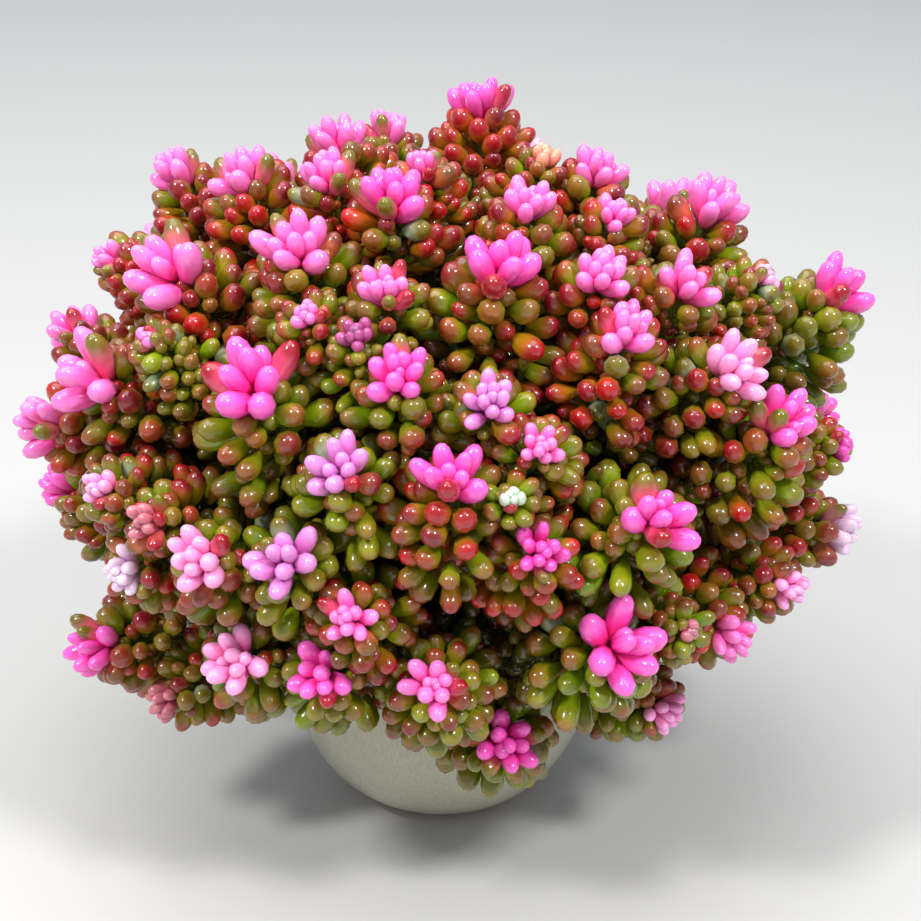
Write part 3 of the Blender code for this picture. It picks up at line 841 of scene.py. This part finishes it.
# %% Plan the heads
HEAD_LEAVES = 5.0
HEAD_LEAVES_PER_MM = 0.58
HEAD_LEANS = (3.0, 54.0)
HEAD_LEAN_CURVE = 0.8
HEAD_LEAN_SPREAD = 5.0
HEAD_TURN_SPREAD = 0.15
HEAD_LENGTH = 0.76
HEAD_LENGTHS = (0.9, 1.1)
LENGTH_GROWTH = (0.7, 1.0)
LENGTH_CURVE = 0.7
HEAD_RADIUS = 0.15
HEAD_RADII = (0.92, 1.08)
RADIUS_GROWTH = (0.74, 1.0)
SMALLEST_RADIUS = 1.5 * MM
HEAD_RISE = 0.22
HEAD_SINK = 0.12
UPRIGHT = 0.9


def side_vectors(axis):
    guide = Vector((0.0, 0.0, 1.0)) if abs(axis.z) < UPRIGHT else Vector((0.0, 1.0, 0.0))
    first = axis.cross(guide).normalized()
    return first, axis.cross(first).normalized()


def leaf_way(axis, turn, lean):
    """The unit vectors along a leaf and out of the axis on its side."""
    first, second = side_vectors(axis)
    outward = first * math.cos(turn) + second * math.sin(turn)
    return outward * math.sin(lean) + axis * math.cos(lean), outward


def try_leaf(leaves, owner, leaf, press, fits=FITS):
    """Adds the leaf at the largest of these sizes that has room."""
    root, way, axis, length, radius, colours, bean = leaf
    near = rods.nearby(root + way * length * ROD_MIDDLE)
    for fit in fits:
        start = root + way * length * fit * ROD_START
        end = root + way * (length * fit - radius * fit * ROD_TIP)
        if rods.has_room(start, end, radius * fit, owner, press, near):
            rods.add(start, end, radius * fit, owner)
            leaves.append((root, way, axis, length * fit, radius * fit, colours, bean))
            return


def plan_head(shoot, draw):
    leaves = []
    width = shoot["width"]
    axis = shoot["axis"]
    count = round(HEAD_LEAVES + HEAD_LEAVES_PER_MM * width / MM)
    first_turn = draw.uniform(0.0, math.tau)
    for index in reversed(range(count)):
        share = (index + 0.5) / count
        lean = part_way(HEAD_LEANS, share**HEAD_LEAN_CURVE) + draw.uniform(-HEAD_LEAN_SPREAD, HEAD_LEAN_SPREAD)
        turn = first_turn + index * GOLDEN_TURN + draw.uniform(-HEAD_TURN_SPREAD, HEAD_TURN_SPREAD)
        way, _ = leaf_way(axis, turn, math.radians(lean))
        root = shoot["neck"] + axis * width * (HEAD_RISE * (1.0 - share) - HEAD_SINK)
        growth = part_way(LENGTH_GROWTH, share**LENGTH_CURVE)
        length = width * HEAD_LENGTH * growth * draw.uniform(*HEAD_LENGTHS)
        growth = part_way(RADIUS_GROWTH, share)
        radius = max(SMALLEST_RADIUS, width * HEAD_RADIUS) * growth * draw.uniform(*HEAD_RADII)
        colours = head_colours(shoot, share, draw)
        leaf = (root, way, axis, length, radius, colours, fine_bean)
        try_leaf(leaves, shoot["number"], leaf, HEAD_PRESS)
    return leaves


def plan_heads(group):
    for shoot in group:
        shoot["draw"] = random.Random(SEED * 100 + shoot["number"])
        shoot["head_leaves"] = plan_head(shoot, shoot["draw"])
    return sum(len(shoot["head_leaves"]) for shoot in group)


print("leaves in the pink heads:", plan_heads(shoots))

# %% [markdown]
# ## Leaves of the stems
# Below each head the leaves sit thick round the stem, and lower down, in the shade, they thin out. All shoots
# grow together, one leaf each in turn, so that no shoot takes the room of its neighbour. The path of a shoot
# runs from the neck down to its foot and then to the fork.

# %% Plan the leaves under the heads
LEAF_LENGTH = 8.7 * MM
LEAF_LENGTHS = (0.86, 1.16)
TOP_GROWTH = (0.9, 1.0)
LEAF_RADIUS = 2.6 * MM
LEAF_RADII = (0.84, 1.12)
LEAF_PITCH = 0.32 * MM
SHADE_PITCH = 1.3 * MM
DENSE_DEPTH = 21.0 * MM
FIRST_DEPTH = 1.2 * MM
LEANS = (62.0, 80.0)
LEAN_SPREAD = 9.0
TURN_SPREAD = 0.25
CORE_RADII = (1.0 * MM, 7.2 * MM)
CORE_DEPTH = 12.0 * MM
FORK_MARGIN = 7.0 * MM
FOOT_BEND = 0.5
COLLAR_LEAVES = 5
COLLAR_CHANCE = 0.2
FINE_DEPTH = 11.0 * MM
SIDE_FINE_SHARE = 0.3
SMALLER_FITS = (0.86, 0.7, 0.54)
INNER_PITCH = 0.5 * MM
INNER_DEPTH = 22.0 * MM
INNER_FINE_DEPTH = 5.0 * MM


def on_path(shoot, distance):
    """The point this far down the shoot from its neck, and the way up the stem there."""
    straight = (shoot["neck"] - shoot["foot"]).length
    lower = (shoot["foot"] - shoot["fork"]).normalized()
    if distance <= straight:
        share = distance / straight * FOOT_BEND
        tangent = (shoot["axis"] * (1.0 - share) + lower * share).normalized()
        return shoot["neck"] - shoot["axis"] * distance, tangent
    return shoot["foot"] - lower * (distance - straight), lower


def leaf_depths(shoot):
    """How far below the neck each leaf grows: close together at first, then wider apart."""
    size = shoot["body_size"]
    end = (shoot["neck"] - shoot["foot"]).length + (shoot["foot"] - shoot["fork"]).length - FORK_MARGIN
    depths = [FIRST_DEPTH * size]
    while depths[-1] < end:
        pitch = LEAF_PITCH if depths[-1] < DENSE_DEPTH * size else SHADE_PITCH
        depths.append(depths[-1] + pitch * size)
    return depths


def plan_leaf(shoot, index, depth, fits, core):
    """Tries one leaf at this depth. Its root may stand off the stem's middle by as much as the core."""
    draw = shoot["draw"]
    size = shoot["body_size"]
    point, tangent = on_path(shoot, depth)
    steep = min(1.0, depth / CORE_DEPTH)
    lean = math.radians(part_way(LEANS, steep) + draw.uniform(-LEAN_SPREAD, LEAN_SPREAD))
    turn = shoot["number"] + index * GOLDEN_TURN + draw.uniform(-TURN_SPREAD, TURN_SPREAD)
    way, outward = leaf_way(tangent, turn, lean)
    length = LEAF_LENGTH * size * part_way(TOP_GROWTH, steep) * draw.uniform(*LEAF_LENGTHS)
    radius = LEAF_RADIUS * size * draw.uniform(*LEAF_RADII)
    in_collar = index < COLLAR_LEAVES and draw.random() < COLLAR_CHANCE
    colours = collar_colours(shoot, draw) if in_collar else body_colours(shoot, depth, draw)
    root = point + outward * size * part_way((CORE_RADII[0], core), steep)
    outer = core > CORE_RADII[0] or depth < INNER_FINE_DEPTH
    bean = fine_bean if outer and depth < shoot["fine_depth"] else plain_bean
    leaf = (root, way, tangent, length, radius, colours, bean)
    try_leaf(shoot["leaves"], shoot["number"], leaf, LEAF_PRESS, fits)


def plan_leaves(group):
    for shoot in group:
        shoot["leaves"] = []
        shoot["fine_depth"] = FINE_DEPTH * (SIDE_FINE_SHARE if shoot["tint"] == "green" else 1.0)
        shoot["depths"] = leaf_depths(shoot)
    for index in range(max(len(shoot["depths"]) for shoot in group)):
        for shoot in group:
            if index < len(shoot["depths"]):
                plan_leaf(shoot, index, shoot["depths"][index], FITS, CORE_RADII[1])
    return sum(len(shoot["leaves"]) for shoot in group)


def fill_gaps(group):
    """Tries smaller leaves close to the stem, where it would show bare between the others."""
    before = sum(len(shoot["leaves"]) for shoot in group)
    for index in range(round(INNER_DEPTH / INNER_PITCH)):
        for shoot in group:
            plan_leaf(shoot, index * 2 + 1, (index + 0.5) * INNER_PITCH, SMALLER_FITS, CORE_RADII[0])
    return sum(len(shoot["leaves"]) for shoot in group) - before


print("leaves under the pink heads:", plan_leaves(shoots))
print("smaller leaves between them:", fill_gaps(shoots))
print("leaves of the side shoots:", plan_heads(fillers) + plan_leaves(fillers))

# %% [markdown]
# ## Growing the leaves
# A leaf is a copy of the bean with its own mesh. A matrix stretches and turns it: its Z runs along the leaf,
# and its X faces up the stem, so that the tip curves upwards. Its three colours are spread over its points,
# and the side that faces the sky gets a little redder, as leaves in the sun do.

# %% Make one leaf
BELLY_AT = 0.45
TIP_FROM = 0.5
TIP_SPAN = 0.38
TIP_CURVE = 1.2
SUN_BLUSH = 0.15


def spread_colours(bean, colours, turn, blush):
    """A colour for each point of the bean, from its root, belly and tip colours."""
    root, belly, tip = colours
    to_belly = np.clip(bean["along"] / BELLY_AT, 0.0, 1.0)[:, None]
    to_tip = (np.clip((bean["along"] - TIP_FROM) / TIP_SPAN, 0.0, 1.0) ** TIP_CURVE)[:, None]
    mixed = blend(blend(root, belly, to_belly), tip, to_tip)
    rise = np.array(turn.transposed().to_3x3())[:, 2]
    upward = np.clip(bean["normals"] @ rise, 0.0, 1.0)[:, None] * blush
    return blend(mixed, LEAF_COLOURS["plum"], upward)


def grow_leaf(leaf, skin):
    root, way, axis, length, radius, colours, bean = leaf
    upper = (axis - way * axis.dot(way)).normalized()
    turn = Matrix((upper, way.cross(upper), way)).transposed().to_4x4()
    place = Matrix.Translation(root) @ turn @ Matrix.Diagonal((radius, radius, length, 1.0))
    mesh = bean["object"].data.copy()
    mesh.transform(place)
    tint = np.ones((len(bean["along"]), 4))
    tint[:, :3] = spread_colours(bean, colours, turn, 0.0 if skin is pink_skin else SUN_BLUSH)
    mesh.materials[0] = shaded_skin if bean is plain_bean else skin
    mesh.color_attributes[LEAF_TINT].data.foreach_set("color", tint.ravel())
    return add_object("leaf", mesh)


print("points of a fine leaf:", len(fine_bean["along"]), "of a plain one:", len(plain_bean["along"]))

# %% [markdown]
# ## Stems
# A stem is a curve with a round bevel, which gives a smooth tube that thins towards the head. It is turned
# into a mesh so that it can be joined with its leaves to one piece.

# %% Make one stem
TRUNK_STEPS = (0.0, 0.4, 0.8, 1.0)
TRUNK_TOP = 1.5 * MM
TRUNK_TAPER = 0.9
BRANCH_RADII = (1.7 * MM, 1.6 * MM, 1.6 * MM, 1.1 * MM)
TUBE_STEPS = 3


def make_tube(name, points, radii):
    curve = bpy.data.curves.new(name, "CURVE")
    curve.dimensions = "3D"
    curve.bevel_depth = 1.0
    curve.bevel_resolution = 1
    curve.use_fill_caps = True
    curve.resolution_u = TUBE_STEPS
    spline = curve.splines.new("NURBS")
    spline.points.add(len(points) - 1)
    for control, point, radius in zip(spline.points, points, radii):
        control.co = (*point, 1.0)
        control.radius = radius
    spline.use_endpoint_u = True
    spline.order_u = 3
    select_only([add_object(name, curve)])
    bpy.ops.object.convert(target="MESH")
    tube = bpy.context.object
    tube.data.materials.clear()
    tube.data.materials.append(stem_bark)
    tube.data.color_attributes.new(LEAF_TINT, "FLOAT_COLOR", "POINT")
    bpy.ops.object.shade_smooth()
    return tube


def trunk_tube(fork):
    foot = Vector((fork.x, fork.y, SOIL_TOP - TRUNK_DEPTH))
    top = fork + Vector((0.0, 0.0, TRUNK_TOP))
    points = [foot.lerp(top, step) for step in TRUNK_STEPS]
    return make_tube("trunk_tube", points, [TRUNK_RADIUS] * 3 + [TRUNK_RADIUS * TRUNK_TAPER])


def branch_tube(shoot):
    middle = shoot["fork"].lerp(shoot["foot"], 0.5)
    return make_tube("branch_tube", [shoot["fork"], middle, shoot["foot"], shoot["neck"]], BRANCH_RADII)


print("stems to make:", len(forks), "trunks and", len(shoots) + len(fillers), "branches")

# %% [markdown]
# ## The leafy stems and the pink heads
# Each CAD stem is replaced by one piece: its trunk, its branches and all their leaves, with the small heads
# that have no solid of their own. Each of the forty-four wide heads is a piece too.

# %% Build the pieces
for trunk, fork in enumerate(forks):
    own = [shoot for shoot in shoots + fillers if shoot["trunk"] == trunk]
    parts = [trunk_tube(fork)]
    for shoot in own:
        parts.append(branch_tube(shoot))
        parts += [grow_leaf(leaf, leaf_skin) for leaf in shoot["leaves"]]
        if not shoot.get("own_head"):
            skin = leaf_skin if shoot["tint"] == "green" else pink_skin
            parts += [grow_leaf(leaf, skin) for leaf in shoot["head_leaves"]]
    piece = join_into("bean_stem_%02d" % (trunk + 1), parts)
    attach(piece, "root")
    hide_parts("leafy_stem_%02d" % (trunk + 1))
    print(piece.name, "parts:", len(parts), "faces:", len(piece.data.polygons))

head_number = 0
for shoot in shoots:
    if shoot.get("own_head"):
        head_number += 1
        leaves = [grow_leaf(leaf, pink_skin) for leaf in shoot["head_leaves"]]
        piece = join_into("pink_rosette_%02d" % head_number, leaves)
        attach(piece, "root")
        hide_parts("pink_head_%02d" % head_number)
print("pink heads of their own:", head_number)
for pattern in (fine_bean, plain_bean):
    bpy.data.objects.remove(pattern["object"], do_unlink=True)

# %% [markdown]
# ## The bowl
# The pot was turned on a wheel. Here it starts as a circle of points, and each extrude adds the next ring
# of the wall, which is then resized: up the outside, over the rounded rim and down the inside. So each
# ring can be read as a radius and a height, which a spin of a drawn outline would hide.

# %% Turn the bowl
POT_HEIGHT = 42.5 * MM
POT_RIM_RADIUS = 39.5 * MM
POT_FOOT_RADIUS = 15.0 * MM
POT_WALL = 2.6 * MM
POT_FLOOR = 4.0 * MM
POT_SIDES = 128
POT_STEPS = 22
POT_CROWDING = 1.9
RIM_STEPS = 6
MIDDLE_RADIUS = 4.0 * MM
FOOT_HOLLOW = 0.8 * MM
FOOT_RING = 2.4 * MM
FOOT_INNER_ROUND = 0.5 * MM
FOOT_OUTER_ROUND = 0.3 * MM
SAME_POINT = 0.01 * MM
ROUND_ANGLE = 40.0


def bowl_radius(height, inset=0.0):
    """Radius of the bowl's side at this height: a quarter of an ellipse from foot to rim."""
    rise = 1.0 - min(max(height / POT_HEIGHT, 0.0), 1.0)
    return POT_FOOT_RADIUS + (POT_RIM_RADIUS - POT_FOOT_RADIUS) * math.sqrt(1.0 - rise * rise) - inset


def bowl_outline():
    """Radius and height of each ring, from the middle of the underside round to the middle of the inside."""
    foot = POT_FOOT_RADIUS - FOOT_RING
    rings = [(MIDDLE_RADIUS, FOOT_HOLLOW), (foot, FOOT_HOLLOW)]
    rings += [(foot + FOOT_INNER_ROUND, 0.0), (POT_FOOT_RADIUS - FOOT_OUTER_ROUND, 0.0)]
    edge = POT_HEIGHT - POT_WALL / 2.0
    for step in range(1, POT_STEPS + 1):
        height = edge * (step / POT_STEPS) ** POT_CROWDING
        rings.append((bowl_radius(height), height))
    for step in range(1, RIM_STEPS):
        turn = math.pi * step / RIM_STEPS
        middle = bowl_radius(edge) - POT_WALL / 2.0
        rings.append((middle + POT_WALL / 2.0 * math.cos(turn), edge + POT_WALL / 2.0 * math.sin(turn)))
    for step in range(POT_STEPS, -1, -1):
        height = POT_FLOOR + (edge - POT_FLOOR) * (step / POT_STEPS) ** POT_CROWDING
        rings.append((bowl_radius(height, POT_WALL), height))
    rings.append((MIDDLE_RADIUS, POT_FLOOR))
    return rings


def turn_rings(name, rings, sides):
    """Makes a closed turned shape from its rings by extruding and resizing a circle."""
    start_clean()
    radius, height = rings[0]
    bpy.ops.mesh.primitive_circle_add(vertices=sides, radius=radius, location=(0.0, 0.0, height))
    turned = bpy.context.object
    bpy.ops.object.transform_apply(location=True, rotation=True, scale=True)
    bpy.ops.object.mode_set(mode="EDIT")
    bpy.ops.mesh.select_all(action="SELECT")
    bpy.ops.mesh.extrude_region_move()
    bpy.ops.mesh.merge(type="CENTER")
    select_points(lambda place: math.hypot(place.x, place.y) > radius * 0.5)
    for next_radius, next_height in rings[1:]:
        rise = (0.0, 0.0, next_height - height)
        bpy.ops.mesh.extrude_region_move(TRANSFORM_OT_translate={"value": rise})
        factor = next_radius / radius
        bpy.ops.transform.resize(value=(factor, factor, 1.0), center_override=(0.0, 0.0, next_height))
        radius, height = next_radius, next_height
    bpy.ops.mesh.extrude_region_move()
    bpy.ops.mesh.merge(type="CENTER")
    bpy.ops.mesh.select_all(action="SELECT")
    bpy.ops.mesh.remove_doubles(threshold=SAME_POINT)
    bpy.ops.mesh.normals_make_consistent(inside=False)
    bpy.ops.object.mode_set(mode="OBJECT")
    bpy.ops.object.shade_smooth_by_angle(angle=math.radians(ROUND_ANGLE))
    turned.name = name
    return turned


bowl = turn_rings("turned_bowl", bowl_outline(), POT_SIDES)
print("bowl faces:", len(bowl.data.polygons))

# %% [markdown]
# ## Glaze
# The glaze is a pale grey cream with very fine upright streaks. It was wiped off the foot, where the tan
# clay shows. The streaks are noise that is stretched along Z, and the height above the floor says where
# the clay begins.

# %% Glaze the bowl
GLAZE_COLOURS = (linear(170, 167, 145), linear(184, 182, 161))
GLAZE_STREAKS = (2200.0, SOFT_DETAIL, (1.0, 1.0, 0.02))
GLAZE_COAT = {"Coat Weight": 0.3, "Coat Roughness": 0.12}
GLAZE_WAVES = (120.0, SOFT_DETAIL, (1.0, 1.0, 0.4))
WAVE_BUMP = (0.15, 0.5 * MM)
CLAY_TAN = linear(196, 146, 92)
CLAY_EDGE = (2.4 * MM, 3.9 * MM)
CLAY_WANDER = (-0.4 * MM, 0.4 * MM)
CLAY_WAVES = (160.0, SOFT_DETAIL)
GLAZE_TO_CLAY_ROUGHNESS = (0.26, 0.85)


def make_glaze(name):
    material, shader = new_finish(name)
    set_inputs(shader, GLAZE_COAT)
    streaks = between(material, noise_on_object(material, *GLAZE_STREAKS), WHOLE_RANGE)
    glaze = mixed_colours(material, streaks, *GLAZE_COLOURS)
    place = add_node(material, "ShaderNodeTexCoord")
    split = add_node(material, "ShaderNodeSeparateXYZ")
    height = add_node(material, "ShaderNodeMath", operation="ADD")
    wander = between(material, noise_on_object(material, *CLAY_WAVES), CLAY_WANDER)
    link(material, place.outputs["Object"], split.inputs["Vector"])
    link(material, split.outputs["Z"], height.inputs[0])
    link(material, wander, height.inputs[1])
    bare = between(material, height.outputs["Value"], (1.0, 0.0), CLAY_EDGE)
    link(material, mixed_colours(material, bare, glaze, CLAY_TAN), shader.inputs["Base Color"])
    rough = between(material, bare, GLAZE_TO_CLAY_ROUGHNESS, WHOLE_RANGE)
    link(material, rough, shader.inputs["Roughness"])
    add_bump(material, shader, noise_on_object(material, *GLAZE_WAVES), *WAVE_BUMP)
    return material


bowl.data.materials.append(make_glaze("pale_glaze"))
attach(bowl, "root")
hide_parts("glazed_pot")
print("glaze nodes:", len(bowl.data.materials[0].node_tree.nodes))

# %% [markdown]
# ## The gritty mix
# Succulents grow in a mix of grit and earth. The mix is turned like the bowl, just inside its wall, and its
# top is roughened by a Displace modifier. Grains of grit, modelled once and copied, lie on it.

# %% Fill the bowl
SOIL_CROWN = 1.5 * MM
SOIL_GAP = 0.6 * MM
SOIL_FLOOR = 4.3 * MM
SOIL_MIDDLE_RADIUS = 3.0 * MM
SOIL_SIDES = 96
SOIL_WALL_STEPS = 8
SOIL_TOP_STEPS = 20
SOIL_CROWDING = 1.6
CRUMB_SIZE = 2.6 * MM
CRUMB_HEIGHT = 1.2 * MM
TOP_MARGIN = 0.02 * MM
GRAIN_COUNT = 100
GRAIN_SIZES = (0.7 * MM, 1.7 * MM)
GRAIN_SHAPE = (1.0, 0.78, 0.6)
GRAIN_BEVEL = 0.12
GRAIN_REACH = 34.0 * MM
GRAIN_CROWN_REACH = 35.0 * MM
GRAIN_SINK = 0.2


def soil_outline():
    rings = [(SOIL_MIDDLE_RADIUS, SOIL_FLOOR)]
    for step in range(SOIL_WALL_STEPS + 1):
        height = SOIL_FLOOR + (SOIL_TOP - SOIL_FLOOR) * (step / SOIL_WALL_STEPS) ** SOIL_CROWDING
        rings.append((bowl_radius(height, POT_WALL + SOIL_GAP), height))
    edge = rings[-1][0]
    for step in range(1, SOIL_TOP_STEPS):
        share = 1.0 - step / SOIL_TOP_STEPS
        rings.append((edge * share, SOIL_TOP + SOIL_CROWN * (1.0 - share**2)))
    return rings


def roughen_top(soil):
    """Pushes the top of the mix up and down by a cloudy texture."""
    crumbs = bpy.data.textures.new("crumbs", "CLOUDS")
    crumbs.noise_scale = CRUMB_SIZE
    top_points = soil.vertex_groups.new(name="top")
    high = [point.index for point in soil.data.vertices if point.co.z > SOIL_TOP + TOP_MARGIN]
    top_points.add(high, 1.0, "REPLACE")
    rough_top = soil.modifiers.new("Crumbs", "DISPLACE")
    rough_top.texture = crumbs
    rough_top.texture_coords = "LOCAL"
    rough_top.strength = CRUMB_HEIGHT
    rough_top.vertex_group = "top"
    select_only([soil])
    bpy.ops.object.modifier_apply(modifier="Crumbs")


def model_grain():
    bpy.ops.mesh.primitive_ico_sphere_add(subdivisions=1, radius=1.0)
    grain = bpy.context.object
    bpy.ops.object.mode_set(mode="EDIT")
    bpy.ops.mesh.select_all(action="SELECT")
    bpy.ops.transform.resize(value=GRAIN_SHAPE)
    bpy.ops.mesh.bevel(offset=GRAIN_BEVEL, segments=1, affect="EDGES")
    bpy.ops.object.mode_set(mode="OBJECT")
    return grain


def strew_grains(grain):
    draw = random.Random(SEED + 2)
    grains = []
    for index in range(GRAIN_COUNT):
        turn = index * GOLDEN_TURN
        reach = GRAIN_REACH * math.sqrt((index + 0.5) / GRAIN_COUNT)
        size = draw.uniform(*GRAIN_SIZES)
        top = SOIL_TOP + SOIL_CROWN * (1.0 - (reach / GRAIN_CROWN_REACH) ** 2) + size * GRAIN_SINK
        place = Matrix.Translation((reach * math.cos(turn), reach * math.sin(turn), top))
        roll = draw.uniform(0.0, math.tau)
        tumble = Matrix.Rotation(roll, 4, Vector((draw.random(), draw.random(), 1.0)))
        mesh = grain.data.copy()
        mesh.transform(place @ tumble @ Matrix.Scale(size, 4))
        grains.append(add_object("grain", mesh))
    return grains


soil = turn_rings("gritty_mix", soil_outline(), SOIL_SIDES)
roughen_top(soil)
grain_pattern = model_grain()
mix = join_into("gritty_mix", [soil] + strew_grains(grain_pattern))
bpy.data.objects.remove(grain_pattern, do_unlink=True)
print("mix faces:", len(mix.data.polygons))

# %% [markdown]
# ## Colour of the mix
# The earth is dark brown and the grit a pale tan. One noise mixes the two, and a finer one makes the bump, so
# that the surface looks crumbly where a gap between the leaves shows it.

# %% Colour the mix
MIX_COLOURS = (linear(52, 38, 28), linear(150, 130, 104))
MIX_ROUGHNESS = 0.95
MIX_PATCHES = (330.0, FINE_DETAIL)
MIX_CRUMBS = (900.0, FINE_DETAIL)
MIX_BUMP = (0.6, 0.3 * MM)
grit = make_two_tone("grit_and_earth", MIX_COLOURS, MIX_ROUGHNESS, MIX_PATCHES, MIX_CRUMBS, MIX_BUMP)
mix.data.materials.clear()
mix.data.materials.append(grit)
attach(mix, "root")
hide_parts("potting_mix")
print("mix nodes:", len(mix.data.materials[0].node_tree.nodes))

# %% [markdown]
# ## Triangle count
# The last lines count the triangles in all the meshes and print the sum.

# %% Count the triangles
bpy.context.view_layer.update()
for mesh in bpy.data.meshes:
    mesh.calc_loop_triangles()
print("triangles in all the meshes:", sum(len(mesh.loop_triangles) for mesh in bpy.data.meshes if mesh.users))
